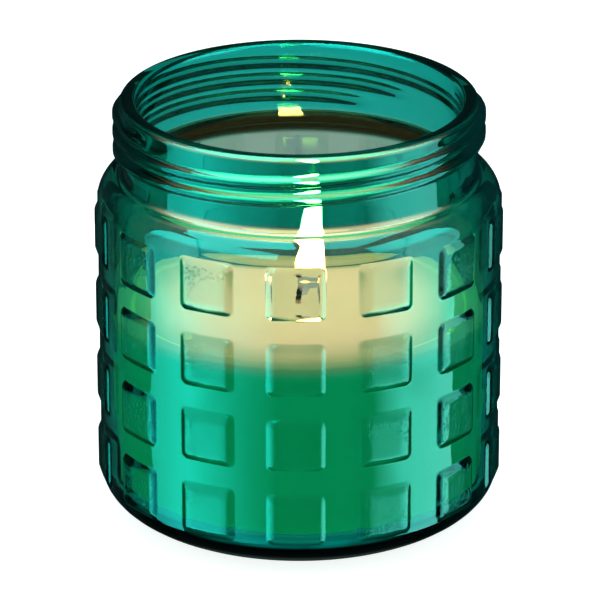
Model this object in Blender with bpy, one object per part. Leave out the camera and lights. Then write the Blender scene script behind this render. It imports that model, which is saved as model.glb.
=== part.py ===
"""A candle lantern in a pressed-glass jar: the jar, its wax fill and melted pool, and one wick.

The jar stands on Z = 0 with its axis on Z. The front is towards -Y. Lengths are in metres.
Angles are in degrees, anticlockwise from +X as seen from above.
"""

import math

import bmesh
import bpy
from mathutils import Matrix, Vector

MM = 0.001
GAP = 0.3 * MM  # room between pieces that touch

# Jar, outside
JAR_HEIGHT = 103.3 * MM
BODY_RADIUS = 48.0 * MM  # the wall between the pads
HEEL_WIDTH = 15.4 * MM  # the rounded foot, measured along the radius
HEEL_HEIGHT = 10.0 * MM
STANDING_RING = 3.6 * MM  # width of the flat ring that the jar stands on
PUNT_DEPTH = 1.8 * MM
SHOULDER_TOP = 84.5 * MM
SHOULDER_HEIGHT = 5.5 * MM
SHOULDER_FULLNESS = 1.6  # 2 is a true ellipse, less is flatter
NECK_RADIUS = 42.5 * MM
NECK_FILLET = 1.2 * MM
LIP_ROUND = 1.2 * MM

# Jar, inside
BODY_WALL = 3.6 * MM
NECK_WALL = 3.9 * MM
BASE_THICKNESS = 7.0 * MM
INNER_HEEL = 6.0 * MM
INNER_HEEL_STEPS = 5

# Raised square pads round the body
PAD_COLUMNS = 14
PAD_ROWS = 4
PAD_TURN = -0.9  # degrees from the front to the middle of the nearest column
PAD_WIDTH = 14.0 * MM
PAD_HEIGHT = 13.4 * MM
PAD_PITCH = 18.86 * MM
PAD_LOWEST = 8.8 * MM
PAD_RAISE = 1.1 * MM
PAD_FLANK = 1.8 * MM

# Screw thread on the neck: two starts, each with its own first and last angle
THREAD_LEAD = 8.5 * MM
THREAD_WIDTH = 3.2 * MM
THREAD_RAISE = 1.7 * MM
THREAD_BELOW_RIM = 14.3 * MM  # rim to the crest of a thread at 90 degrees
THREAD_RUNS = ((60.0, 575.0), (225.0, 570.0))
THREAD_FADE = 25.0
THREAD_ROWS = 15

# Wax
WAX_LEVEL = 52.6 * MM
POOL_RADIUS = 40.0 * MM
POOL_DEPTH = 3.5 * MM
POOL_BELOW_RIM = 0.4 * MM  # the melted wax stands this far under the solid edge
POOL_SLOPE = 2.0 * MM

# Wick and what holds it
BRAID_RADIUS = 1.25 * MM
BRAID_WALL = 0.5 * MM
WICK_SHOWS = 4.2 * MM  # wick above the melted wax
WICK_LEAN = 1.1 * MM
CORE_SHORTER = 0.6 * MM
STICKER_RADIUS = 8.0 * MM
STICKER_THICKNESS = 0.8 * MM
SUSTAINER_RADIUS = 10.0 * MM
SUSTAINER_THICKNESS = 0.4 * MM
SUSTAINER_NECK = 6.0 * MM
SUSTAINER_WALL = 0.35 * MM

# Worked out from the sizes above
INNER_RADIUS = BODY_RADIUS - BODY_WALL
MOUTH_RADIUS = NECK_RADIUS - NECK_WALL
SHOULDER_START = SHOULDER_TOP - SHOULDER_HEIGHT
FLOOR = BASE_THICKNESS
POOL_TOP = WAX_LEVEL - POOL_BELOW_RIM
POOL_FLOOR = POOL_TOP - POOL_DEPTH
STICKER_BASE = FLOOR + GAP
SUSTAINER_BASE = STICKER_BASE + STICKER_THICKNESS + GAP
WICK_BASE = SUSTAINER_BASE + SUSTAINER_THICKNESS + GAP
WICK_TOP = POOL_TOP + WICK_SHOWS
COLUMN_ANGLE = 360.0 / PAD_COLUMNS
FRONT = 270.0


def clear_scene():
    for old in list(bpy.data.objects):
        bpy.data.objects.remove(old, do_unlink=True)


def finish(name, colour, roughness, metallic=0.0):
    """A plain material; colour is linear."""
    material = bpy.data.materials.new(name)
    material.use_nodes = True
    shader = material.node_tree.nodes["Principled BSDF"]
    shader.inputs["Base Color"].default_value = (*colour, 1.0)
    shader.inputs["Roughness"].default_value = roughness
    shader.inputs["Metallic"].default_value = metallic
    material.diffuse_color = (*colour, 1.0)
    return material


def add_object(name, bm, material, sharp=35.0):
    """Makes the bmesh an object of the scene, closed, facing out and shaded smooth."""
    bmesh.ops.remove_doubles(bm, verts=bm.verts, dist=1e-6)
    bmesh.ops.recalc_face_normals(bm, faces=bm.faces)
    mesh = bpy.data.meshes.new(name)
    bm.to_mesh(mesh)
    bm.free()
    mesh.shade_smooth()
    mesh.set_sharp_from_angle(angle=math.radians(sharp))
    mesh.materials.append(material)
    made = bpy.data.objects.new(name, mesh)
    bpy.context.collection.objects.link(made)
    return made


def arc(centre, radii, first, last, steps):
    """Points of a quarter ellipse in the (radius, height) plane, both ends included."""
    turns = [math.radians(first + (last - first) * i / steps) for i in range(steps + 1)]
    return [(centre[0] + radii[0] * math.cos(t), centre[1] + radii[1] * math.sin(t)) for t in turns]


def turned(name, outline, material, steps=56):
    """A solid turned about Z from an outline in the (radius, height) plane.

    An outline that starts and ends on the axis is left open; any other is closed first.
    """
    bm = bmesh.new()
    corners = [bm.verts.new((radius, 0.0, height)) for radius, height in outline]
    edges = [bm.edges.new(pair) for pair in zip(corners, corners[1:])]
    if outline[0][0] > 0.0:
        edges.append(bm.edges.new((corners[-1], corners[0])))
    bmesh.ops.spin(
        bm, geom=corners + edges, cent=(0, 0, 0), axis=(0, 0, 1),
        angle=math.tau, steps=steps, use_merge=True, use_duplicate=False,
    )
    return add_object(name, bm, material)


# ---- jar


def ramp(value, width):
    return min(1.0, max(0.0, value / width))


def pad_lift(angle, height, wall):
    """How far the pads raise the wall at this angle and height."""
    off_column = (angle - FRONT - PAD_TURN + COLUMN_ANGLE / 2) % COLUMN_ANGLE - COLUMN_ANGLE / 2
    side = PAD_WIDTH / 2 - abs(math.radians(off_column)) * wall
    row = (height - PAD_LOWEST) // PAD_PITCH
    above = height - PAD_LOWEST - row * PAD_PITCH
    end = min(above, PAD_HEIGHT - above) if 0 <= row < PAD_ROWS else 0.0
    return PAD_RAISE * min(ramp(side, PAD_FLANK), ramp(end, PAD_FLANK))


def thread_lift(angle, height):
    """How far the screw thread stands out of the neck at this angle and height."""
    lift = 0.0
    for start, (first, last) in enumerate(THREAD_RUNS):
        turn = (angle + start * 360.0 / len(THREAD_RUNS) - first) % 360.0 + first
        while turn <= last:
            crest = JAR_HEIGHT - THREAD_BELOW_RIM + THREAD_LEAD * (turn - 90.0) / 360.0
            off = min(1.0, abs(height - crest) / (THREAD_WIDTH / 2))
            fade = ramp(turn - first, THREAD_FADE) * ramp(last - turn, THREAD_FADE)
            lift = max(lift, THREAD_RAISE * fade * 0.5 * (1 + math.cos(math.pi * off)))
            turn += 360.0
    return lift


def pad_heights():
    """The heights of the edges of every row of pads, from the lowest up."""
    edges = (0.0, PAD_FLANK, PAD_HEIGHT - PAD_FLANK, PAD_HEIGHT)
    return [PAD_LOWEST + row * PAD_PITCH + edge for row in range(PAD_ROWS) for edge in edges]


def wall_radius(height):
    """The radius of the body wall between the pads, down over the rounded heel."""
    if height >= HEEL_HEIGHT:
        return BODY_RADIUS
    drop = 1.0 - height / HEEL_HEIGHT
    return BODY_RADIUS - HEEL_WIDTH * (1.0 - math.sqrt(1.0 - drop * drop))


def shoulder_curve(steps=5):
    """Points of the rounded shoulder, from the wall up to the fillet under the neck."""
    foot = NECK_RADIUS + NECK_FILLET
    turns = [math.pi / 2 * i / steps for i in range(steps + 1)]
    power = 2.0 / SHOULDER_FULLNESS
    return [
        (
            foot + (BODY_RADIUS - foot) * max(0.0, math.cos(t)) ** power,
            SHOULDER_START + SHOULDER_HEIGHT * math.sin(t) ** power,
        )
        for t in turns
    ]


def outside_rings():
    """(radius, height, lift function) of each ring outside, from the foot to the rim."""
    foot = BODY_RADIUS - HEEL_WIDTH
    rings = [(foot - STANDING_RING, 0.0, None)]
    heel = arc((foot, HEEL_HEIGHT), (HEEL_WIDTH, HEEL_HEIGHT), -90, 0, 6)
    rings += [(radius, height, None) for radius, height in heel if height < PAD_LOWEST - GAP]
    rings += [(wall_radius(height), height, "pads") for height in pad_heights()]
    rings += [(radius, height, None) for radius, height in shoulder_curve()]
    fillet_centre = (NECK_RADIUS + NECK_FILLET, SHOULDER_TOP + NECK_FILLET)
    fillet = arc(fillet_centre, (NECK_FILLET, NECK_FILLET), 270, 180, 2)
    rings += [(radius, height, None) for radius, height in fillet[1:]]
    low = SHOULDER_TOP + NECK_FILLET
    high = JAR_HEIGHT - LIP_ROUND
    for row in range(1, THREAD_ROWS + 1):
        rings.append((NECK_RADIUS, low + (high - low) * row / THREAD_ROWS, "thread"))
    lip = arc((NECK_RADIUS - LIP_ROUND, high), (LIP_ROUND, LIP_ROUND), 0, 90, 3)
    return rings + [(radius, height, None) for radius, height in lip[1:]]


def inside_rings():
    """(radius, height, None) of each ring inside, from the mouth down to the floor."""
    high = JAR_HEIGHT - LIP_ROUND
    lip = arc((MOUTH_RADIUS + LIP_ROUND, high), (LIP_ROUND, LIP_ROUND), 90, 180, 3)
    neck_end = SHOULDER_TOP + NECK_FILLET - BODY_WALL
    drop = neck_end - SHOULDER_START
    under = arc((MOUTH_RADIUS, SHOULDER_START), (INNER_RADIUS - MOUTH_RADIUS, drop), 90, 0, 4)
    heel = arc((INNER_RADIUS - INNER_HEEL, FLOOR + INNER_HEEL), (INNER_HEEL, INNER_HEEL), 0, -90, INNER_HEEL_STEPS)
    return [(radius, height, None) for radius, height in lip + under + heel]


def ring_angles():
    """The angles of the mesh's columns: the edges and middle of each pad and of each gap."""
    outer = math.degrees(PAD_WIDTH / 2 / BODY_RADIUS)
    inner = math.degrees((PAD_WIDTH / 2 - PAD_FLANK) / BODY_RADIUS)
    steps = (-outer, -inner, 0.0, inner, outer, COLUMN_ANGLE / 2)
    return [FRONT + PAD_TURN + column * COLUMN_ANGLE + step for column in range(PAD_COLUMNS) for step in steps]


def add_ring(bm, radius, height, lift):
    """A ring of points about Z, raised where the pads or the thread stand out."""
    ring = []
    for angle in ring_angles():
        out = radius
        if lift == "pads":
            out += pad_lift(angle, height, BODY_RADIUS)
        elif lift == "thread":
            out += thread_lift(angle, height)
        turn = math.radians(angle)
        ring.append(bm.verts.new((out * math.cos(turn), out * math.sin(turn), height)))
    return ring


def glass_jar(material):
    """The pressed jar: a shallow punt, the padded wall, the threaded neck and the open inside."""
    bm = bmesh.new()
    rings = [add_ring(bm, *ring) for ring in outside_rings() + inside_rings()]
    for lower, upper in zip(rings, rings[1:]):
        for i, corner in enumerate(lower):
            bm.faces.new((corner, lower[i - 1], upper[i - 1], upper[i]))
    punt = bm.verts.new((0.0, 0.0, PUNT_DEPTH))
    floor = bm.verts.new((0.0, 0.0, FLOOR))
    for i in range(len(rings[0])):
        bm.faces.new((punt, rings[0][i - 1], rings[0][i]))
        bm.faces.new((floor, rings[-1][i], rings[-1][i - 1]))
    return add_object("glass_jar", bm, material)


# ---- wax


def wax_fill(material):
    """The solid wax: a dish for the melted pool, a bore for the wick and a pocket under it."""
    outer = INNER_RADIUS - GAP
    base = FLOOR + GAP
    corner = INNER_HEEL - GAP
    bore = BRAID_RADIUS + GAP
    pocket = SUSTAINER_RADIUS + GAP
    pocket_top = SUSTAINER_BASE + SUSTAINER_THICKNESS + GAP
    collar = BRAID_RADIUS + GAP + SUSTAINER_WALL + GAP
    collar_top = SUSTAINER_BASE + SUSTAINER_THICKNESS + SUSTAINER_NECK + GAP
    outline = [(pocket, base)]
    outline += arc((outer - corner, base + corner), (corner, corner), -90, 0, INNER_HEEL_STEPS)
    outline += [(outer, WAX_LEVEL), (POOL_RADIUS, WAX_LEVEL), (POOL_RADIUS - POOL_SLOPE, POOL_FLOOR)]
    outline += [(bore, POOL_FLOOR), (bore, collar_top), (collar, collar_top)]
    outline += [(collar, pocket_top), (pocket, pocket_top)]
    return turned("wax_fill", outline, material)


def melt_pool(material):
    """The melted wax round the wick, in the dish of the solid wax."""
    bore = BRAID_RADIUS + GAP
    slope = POOL_SLOPE / (WAX_LEVEL - POOL_FLOOR)
    rim = POOL_RADIUS - GAP * math.hypot(1.0, slope)
    base = POOL_FLOOR + GAP
    outline = [(bore, base), (rim - slope * (WAX_LEVEL - base), base)]
    outline += [(rim - slope * (WAX_LEVEL - POOL_TOP), POOL_TOP), (bore, POOL_TOP)]
    return turned("melt_pool", outline, material)


# ---- wick


def wick_path(top, steps=5):
    """The wick's line from its sustainer up to a height, straight in the wax and leaning over above it."""
    points = [Vector((0.0, 0.0, WICK_BASE)), Vector((0.0, 0.0, POOL_TOP))]
    for step in range(1, steps + 1):
        above = (top - POOL_TOP) * step / steps
        points.append(Vector((WICK_LEAN * (above / WICK_SHOWS) ** 2, 0.0, POOL_TOP + above)))
    return points


def swept_loop(bm, path, radius, sides):
    """Rings of the given radius square to the path, one at each of its points."""
    rings = []
    for i, point in enumerate(path):
        along = (path[min(i + 1, len(path) - 1)] - path[max(i - 1, 0)]).normalized()
        turn = Vector((0, 0, 1)).rotation_difference(along).to_matrix().to_4x4()
        place = Matrix.Translation(point) @ turn
        made = bmesh.ops.create_circle(bm, segments=sides, radius=radius, matrix=place)
        rings.append(made["verts"])
    return rings


def skin(bm, rings):
    for lower, upper in zip(rings, rings[1:]):
        for i, corner in enumerate(lower):
            bm.faces.new((lower[i - 1], corner, upper[i], upper[i - 1]))


def wick_braid(material):
    """The cotton braid, a sleeve round the wick's core."""
    bm = bmesh.new()
    path = wick_path(WICK_TOP)
    outer = swept_loop(bm, path, BRAID_RADIUS, 16)
    inner = swept_loop(bm, path, BRAID_RADIUS - BRAID_WALL, 16)
    skin(bm, outer)
    skin(bm, inner)
    skin(bm, [outer[0], inner[0]])
    skin(bm, [outer[-1], inner[-1]])
    return add_object("wick_braid", bm, material)


def wick_core(material):
    """The stiff paper core, burnt a little shorter than the braid."""
    bm = bmesh.new()
    rings = swept_loop(bm, wick_path(WICK_TOP - CORE_SHORTER), BRAID_RADIUS - BRAID_WALL - GAP, 12)
    skin(bm, rings)
    bm.faces.new(rings[0])
    bm.faces.new(rings[-1])
    return add_object("wick_core", bm, material)


def wick_sustainer(material):
    """The stamped steel disc that stands the wick up, with its neck crimped round the braid."""
    bore = BRAID_RADIUS + GAP
    neck = bore + SUSTAINER_WALL
    disc_top = SUSTAINER_BASE + SUSTAINER_THICKNESS
    outline = [(0.0, SUSTAINER_BASE), (SUSTAINER_RADIUS, SUSTAINER_BASE), (SUSTAINER_RADIUS, disc_top)]
    outline += [(neck, disc_top), (neck, disc_top + SUSTAINER_NECK), (bore, disc_top + SUSTAINER_NECK)]
    outline += [(bore, disc_top), (0.0, disc_top)]
    return turned("wick_sustainer", outline, material, steps=40)


def wick_sticker(material):
    """The foam pad that glues the sustainer to the glass."""
    top = STICKER_BASE + STICKER_THICKNESS
    outline = [(0.0, STICKER_BASE), (STICKER_RADIUS, STICKER_BASE), (STICKER_RADIUS, top), (0.0, top)]
    return turned("wick_sticker", outline, material, steps=32)


def main():
    clear_scene()
    wax = finish("wax", (0.86, 0.82, 0.66), 0.5)
    melted = finish("melted_wax", (0.88, 0.84, 0.55), 0.08)
    cotton = finish("cotton", (0.10, 0.08, 0.06), 0.95)
    paper = finish("paper", (0.70, 0.66, 0.58), 0.9)
    glass_jar(finish("jar_glass", (0.0, 0.42, 0.34), 0.05))
    wax_fill(wax)
    melt_pool(melted)
    wick_braid(cotton)
    wick_core(paper)
    wick_sustainer(finish("tinned_steel", (0.62, 0.62, 0.60), 0.35, 1.0))
    wick_sticker(finish("foam", (0.85, 0.85, 0.82), 0.9))


main()
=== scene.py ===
"""The visual model of a candle lantern in a pressed-glass jar, made round its CAD frame.

Each operator makes one piece or one group of like pieces, and the panel lists them. The jar's
axis is Z, it stands on Z = 0 and its front is towards -Y. Lengths are in metres.
"""

import math

import bmesh
import bpy
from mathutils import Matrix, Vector


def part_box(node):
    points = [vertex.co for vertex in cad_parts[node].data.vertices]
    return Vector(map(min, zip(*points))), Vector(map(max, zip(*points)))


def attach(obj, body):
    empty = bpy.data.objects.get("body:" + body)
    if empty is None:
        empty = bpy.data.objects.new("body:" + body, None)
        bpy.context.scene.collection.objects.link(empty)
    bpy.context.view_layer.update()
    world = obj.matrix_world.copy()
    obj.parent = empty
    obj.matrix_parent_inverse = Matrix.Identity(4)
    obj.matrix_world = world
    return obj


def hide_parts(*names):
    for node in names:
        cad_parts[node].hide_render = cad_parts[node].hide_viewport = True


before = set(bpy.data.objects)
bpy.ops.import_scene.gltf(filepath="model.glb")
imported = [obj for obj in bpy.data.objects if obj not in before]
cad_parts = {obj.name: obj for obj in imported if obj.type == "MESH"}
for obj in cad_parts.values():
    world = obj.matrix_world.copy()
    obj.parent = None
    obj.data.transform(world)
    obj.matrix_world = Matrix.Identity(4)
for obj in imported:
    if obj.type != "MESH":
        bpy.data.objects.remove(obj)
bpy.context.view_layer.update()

bl_info = {
    "name": "Jar candle lantern",
    "version": (1, 0, 0),
    "blender": (4, 5, 0),
    "location": "3D View > Sidebar > Candle",
    "description": "Makes a lit candle in a pressed-glass jar, and the stage it stands on",
    "category": "Add Mesh",
}

MM = 0.001
GAP = 0.3 * MM
ON_AXIS = 1e-7
SAME_PLACE = 1e-6
BODY = "root"
FRONT = -math.pi / 2
BLACK = (0.0, 0.0, 0.0)
WHITE = (1.0, 1.0, 1.0)

JAR_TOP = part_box("glass_jar")[1].z
WAX_LOW, WAX_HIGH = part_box("wax_fill")
POOL_LOW, POOL_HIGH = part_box("melt_pool")
WICK_LOW, WICK_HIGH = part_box("wick_braid")
CORE_LOW, CORE_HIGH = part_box("wick_core")
DISC_LOW, DISC_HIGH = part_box("wick_sustainer")
PAD_LOW, PAD_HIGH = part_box("wick_sticker")


# ---- sizes and colours that a user would change


def length(name, default, description):
    return bpy.props.FloatProperty(
        name=name, description=description, default=default, min=0.0, unit="LENGTH", precision=5
    )


def plain(name, default, description, **more):
    return bpy.props.FloatProperty(name=name, description=description, default=default, **more)


def angle(name, degrees, description):
    return bpy.props.FloatProperty(
        name=name, description=description, default=math.radians(degrees), subtype="ANGLE"
    )


def whole(name, default, description):
    return bpy.props.IntProperty(name=name, description=description, default=default, min=1)


def colour(name, default, description):
    return bpy.props.FloatVectorProperty(
        name=name, description=description, default=default, subtype="COLOR", size=3, min=0.0, max=1.0
    )


class JarSizes(bpy.types.PropertyGroup):
    """Sizes of the glass jar."""

    body_radius: length("Body radius", 48.0 * MM, "Outside of the wall between the pads")
    body_wall: length("Body wall", 3.6 * MM, "Thickness of the wall between the pads")
    neck_radius: length("Neck radius", 42.5 * MM, "Outside of the neck between the threads")
    neck_wall: length("Neck wall", 3.9 * MM, "Thickness of the neck")
    lip_round: length("Lip rounding", 1.2 * MM, "Radius of both edges of the lip")
    shoulder_start: length("Shoulder start", 79.0 * MM, "Height where the wall turns in")
    shoulder_height: length("Shoulder height", 5.5 * MM, "Height of the rounded shoulder")
    neck_fillet: length("Neck fillet", 1.2 * MM, "Hollow rounding between shoulder and neck")
    heel_width: length("Heel width", 15.4 * MM, "Rounded foot, along the radius")
    heel_height: length("Heel height", 10.0 * MM, "Rounded foot, up the wall")
    standing_ring: length("Standing ring", 3.6 * MM, "Width of the flat ring under the jar")
    punt_depth: length("Punt depth", 1.8 * MM, "Depth of the hollow under the jar")
    floor: length("Base thickness", 7.0 * MM, "Glass under the wax")
    inner_heel: length("Inner heel", 6.0 * MM, "Rounding of the inside corner")


class PadSizes(bpy.types.PropertyGroup):
    """Sizes of the raised square pads round the body."""

    columns: whole("Columns", 14, "Pads round the jar")
    rows: whole("Rows", 4, "Pads up the jar")
    turn: angle("Turn", -0.9, "Angle from the front to the nearest column")
    width: length("Width", 14.0 * MM, "Width of a pad round the wall")
    height: length("Height", 13.4 * MM, "Height of a pad")
    pitch: length("Pitch", 18.86 * MM, "Distance from a pad to the one over it")
    lowest: length("Lowest edge", 8.8 * MM, "Height of the lowest pads' lower edge")
    lift: length("Raise", 1.05 * MM, "How far a pad's edge stands out of the wall")
    flatten: length("Flatten", 0.42 * MM, "How far a pad's middle is cut back, to be flat")
    flank: length("Flank", 2.2 * MM, "Width of the slope round a pad")
    corner: length("Corner", 2.0 * MM, "Radius of a pad's corners")


class ThreadSizes(bpy.types.PropertyGroup):
    """Sizes of the screw thread on the neck."""

    lead: length("Lead", 8.5 * MM, "Rise of a thread in one turn")
    width: length("Width", 3.2 * MM, "Width of a thread at its foot")
    lift: length("Raise", 1.7 * MM, "How far a thread stands out of the neck")
    below_rim: length("Below the rim", 14.3 * MM, "From the rim to the first crest at 90 degrees")
    fade: angle("Fade", 25.0, "Angle over which a thread's ends run out")


class CandleSizes(bpy.types.PropertyGroup):
    """Sizes of the wax, the wick and the flame."""

    pool_radius: length("Pool radius", 40.0 * MM, "Melted wax, out to the solid edge")
    pool_slope: length("Pool slope", 2.0 * MM, "Slope of the solid edge round the pool")
    braid_radius: length("Braid radius", 1.25 * MM, "Outside of the braided wick")
    strands: whole("Strands", 8, "Yarns in the braid")
    strand_radius: length("Strand radius", 0.42 * MM, "Radius of one yarn")
    lean: length("Wick lean", 1.1 * MM, "How far the wick's end leans to +X")
    flame_height: length("Flame height", 28.0 * MM, "Flame, from its foot to its tip")
    flame_radius: length("Flame radius", 3.7 * MM, "Flame at its widest")
    flame_lean: length("Flame lean", 1.8 * MM, "How far the flame's tip drifts to +X")
    flame_aside: length("Flame aside", 0.9 * MM, "How far the flame stands to +X of the wick's end")


class Finishes(bpy.types.PropertyGroup):
    """Colours of the glass, the wax and the light."""

    glass_clear: colour("Glass clearness", (0.70, 0.83, 0.80), "Colour that the glass lets through")
    glass_depth: plain("Glass depth", 1000.0, "Absorption for each metre of glass", min=0.0)
    glass_deep: colour("Deep glass", (0.045, 1.0, 0.95), "Tint at the neck and round the wax")
    # Painted glow: a paler tint of the glass over the wax, so that the wax's glow shows through
    glass_glow_tint: colour("Pale glass", (1.0, 0.84, 0.84), "Tint where the flame shines through")
    # Painted shade: the dark tint of pad slopes and of glass seen edge on
    glass_shade_tint: colour("Dark glass", (0.0, 0.06, 0.05), "Tint of a pad's slope seen edge on")
    # Painted shade: the dull brown of a band inside the shoulder
    glass_band_shade: colour("Under the shoulder", (0.016, 0.014, 0.004), "Brown of the glass inside")
    glass_caught: colour("Caught light", (0.62, 0.48, 0.25), "Light caught over the shoulder")
    glass_edge: colour("Edge glass", (0.02, 0.85, 0.72), "Tint of the same glass seen edge on")
    glass_shine: colour("Glass shine", (0.30, 1.0, 0.9), "Tint of the reflections on the glass")
    wax: colour("Wax", (0.86, 0.80, 0.32), "Solid wax")
    glow: colour("Glow", (1.0, 0.55, 0.37), "Light in the wax near the wick")
    glow_deep: colour("Deep glow", (0.04, 0.20, 0.08), "Light down in the wax")
    glow_strength: plain("Glow strength", 1.5, "Brightness of the wax at the wick", min=0.0)
    flame_strength: plain("Flame strength", 150.0, "Brightness of the flame", min=0.0)


class StageSizes(bpy.types.PropertyGroup):
    """Camera, floor and lights."""

    distance: length("Camera distance", 1.1047, "From the camera to the point it looks at")
    elevation: angle("Camera elevation", 22.06, "Height of the camera over the horizon")
    target: length("Camera target", 51.45 * MM, "Height of the point that the camera looks at")
    focal: plain("Focal length", 276.03, "Focal length in millimetres", min=1.0)
    shift: plain("Camera shift", 0.0015, "Sideways shift of the picture")
    floor_radius: length("Floor radius", 1.6, "Radius of the floor")


# ---- node trees


class Value:
    """A socket that can be used in arithmetic: every expression adds its Math nodes."""

    def __init__(self, nodes, socket):
        self.nodes = nodes
        self.socket = socket

    def math(self, operation, *others, clamp=False):
        settings = {"operation": operation, "use_clamp": clamp}
        return self.nodes.add("ShaderNodeMath", settings, self, *others)

    def arithmetic(operation):
        """The method of an operator whose left side is a value."""
        return lambda self, other: self.math(operation, other)

    __add__ = __radd__ = arithmetic("ADD")
    __sub__ = arithmetic("SUBTRACT")
    __mul__ = __rmul__ = arithmetic("MULTIPLY")
    __truediv__ = arithmetic("DIVIDE")
    __pow__ = arithmetic("POWER")

    def __neg__(self):
        return self.math("MULTIPLY", -1.0)

    def __abs__(self):
        return self.math("ABSOLUTE")

    def __rsub__(self, other):
        return -self + other

    def __rtruediv__(self, other):
        return self.nodes.add("ShaderNodeMath", {"operation": "DIVIDE"}, other, self)

    def held(self):
        """The value, kept between 0 and 1."""
        return self.math("ADD", 0.0, clamp=True)

    def smooth(self):
        """Nought up to 0, one from 1 on, and a smooth step between."""
        held = self.held()
        return held * held * (3.0 - 2.0 * held)

    def after(self, start, width):
        """Nought up to a start, one from a width past it on."""
        return ((self - start) / width).smooth()

    def before(self, end, width):
        """One up to a width short of an end, nought from the end on."""
        return ((end - self) / width).smooth()


class Nodes:
    """Adds nodes to a tree."""

    def __init__(self, tree):
        self.tree = tree

    def add(self, kind, settings=None, *inputs, out=0, **named):
        """One node of a type: settings first, then its sockets by order or by name."""
        node = self.tree.nodes.new(kind)
        for key, value in (settings or {}).items():
            if key == "stops":
                self.set_stops(node.color_ramp, value)
            else:
                setattr(node, key, value)
        for socket, value in zip(node.inputs, inputs):
            self.feed(socket, value)
        for key, value in named.items():
            self.feed(node.inputs[key.replace("_", " ")], value)
        self.last = node
        return Value(self, node.outputs[out]) if node.outputs else node

    def feed(self, socket, value):
        if isinstance(value, Value):
            self.tree.links.new(value.socket, socket)
        elif socket.type == "RGBA":
            socket.default_value = (*tuple(value)[:3], 1.0)
        else:
            socket.default_value = value

    @staticmethod
    def set_stops(ramp, stops):
        while len(ramp.elements) > 1:
            ramp.elements.remove(ramp.elements[-1])
        ramp.elements[0].position = stops[0][0]
        ramp.elements[0].color = (*stops[0][1], 1.0)
        for place, shade in stops[1:]:
            ramp.elements.new(place).color = (*shade, 1.0)

    def pick(self, kind, output):
        """One output, by its name, of a node without inputs."""
        self.add(kind)
        return Value(self, self.last.outputs[output])

    def parts(self, vector):
        """The x, y and z of a vector."""
        self.add("ShaderNodeSeparateXYZ", None, vector)
        return [Value(self, socket) for socket in self.last.outputs]

    @staticmethod
    def from_axis(x, y):
        """The distance from the jar's axis."""
        return (x * x + y * y).math("SQRT")

    def mix(self, share, first, second):
        """Mixes two colours."""
        node = self.tree.nodes.new("ShaderNodeMix")
        node.data_type = "RGBA"
        self.feed(node.inputs[0], share)
        self.feed(node.inputs[6], first)
        self.feed(node.inputs[7], second)
        return Value(self, node.outputs[2])


class Material(Nodes):
    """A Principled material, with its numbers set on the shader's own sockets."""

    def __init__(self, name, **sockets):
        self.material = bpy.data.materials.new(name)
        self.material.use_nodes = True
        super().__init__(self.material.node_tree)
        self.shader = self.tree.nodes["Principled BSDF"]
        self.output = self.tree.nodes["Material Output"]
        self.set(**sockets)

    def set(self, **sockets):
        for key, value in sockets.items():
            self.feed(self.shader.inputs[key.replace("_", " ")], value)

    def cover(self, share, shade):
        """Hides the finish behind a dull colour, by a share."""
        dull = self.tree.nodes.new("ShaderNodeBsdfDiffuse")
        dull.inputs["Color"].default_value = (*tuple(shade)[:3], 1.0)
        both = self.tree.nodes.new("ShaderNodeMixShader")
        self.feed(both.inputs[0], share)
        self.tree.links.new(self.shader.outputs[0], both.inputs[1])
        self.tree.links.new(dull.outputs[0], both.inputs[2])
        self.tree.links.new(both.outputs[0], self.output.inputs["Surface"])

    def place(self):
        return self.add("ShaderNodeTexCoord", None, out=3)

    def attribute(self, name):
        """A number that is stored at the mesh's points."""
        return self.add("ShaderNodeAttribute", {"attribute_name": name}, out=2)

    def noise(self, scale, detail=2.0, roughness=0.5, vector=None):
        vector = vector or self.place()
        return self.add(
            "ShaderNodeTexNoise", None, Vector=vector, Scale=scale, Detail=detail, Roughness=roughness
        )

    def bump(self, height, distance, strength=1.0):
        normal = self.add("ShaderNodeBump", None, Height=height, Distance=distance, Strength=strength)
        self.set(Normal=normal)


class Shape(Nodes):
    """A Geometry Nodes tree with named inputs, run once on an object."""

    KINDS = {float: "NodeSocketFloat", int: "NodeSocketInt", bpy.types.Material: "NodeSocketMaterial"}

    def __init__(self, name, values):
        tree = bpy.data.node_groups.new(name, "GeometryNodeTree")
        super().__init__(tree)
        self.values = values
        face = tree.interface
        face.new_socket("Geometry", in_out="OUTPUT", socket_type="NodeSocketGeometry")
        face.new_socket("Geometry", in_out="INPUT", socket_type="NodeSocketGeometry")
        for key, value in values.items():
            kind = next(k for t, k in self.KINDS.items() if isinstance(value, t))
            face.new_socket(key, in_out="INPUT", socket_type=kind)
        source = tree.nodes.new("NodeGroupInput")
        self.inputs = {s.name: Value(self, s) for s in source.outputs if s.name}

    def __getitem__(self, key):
        return self.inputs[key]

    def finish(self, geometry):
        """Realizes the geometry, gives it its material and sends it out."""
        real = self.add("GeometryNodeRealizeInstances", None, geometry)
        done = self.add("GeometryNodeSetMaterial", None, Geometry=real, Material=self["Material"])
        self.add("NodeGroupOutput", None, done)

    def run(self, made):
        """The object with the tree applied as a plain mesh."""
        modifier = made.modifiers.new(self.tree.name, "NODES")
        modifier.node_group = self.tree
        for item in self.tree.interface.items_tree:
            if item.in_out == "INPUT" and item.name in self.values:
                modifier[item.identifier] = self.values[item.name]
        graph = bpy.context.evaluated_depsgraph_get()
        mesh = bpy.data.meshes.new_from_object(made.evaluated_get(graph), depsgraph=graph)
        made.modifiers.remove(modifier)
        old = made.data
        made.data = mesh
        mesh.name = made.name
        bpy.data.meshes.remove(old)
        return made


# ---- meshes


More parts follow.
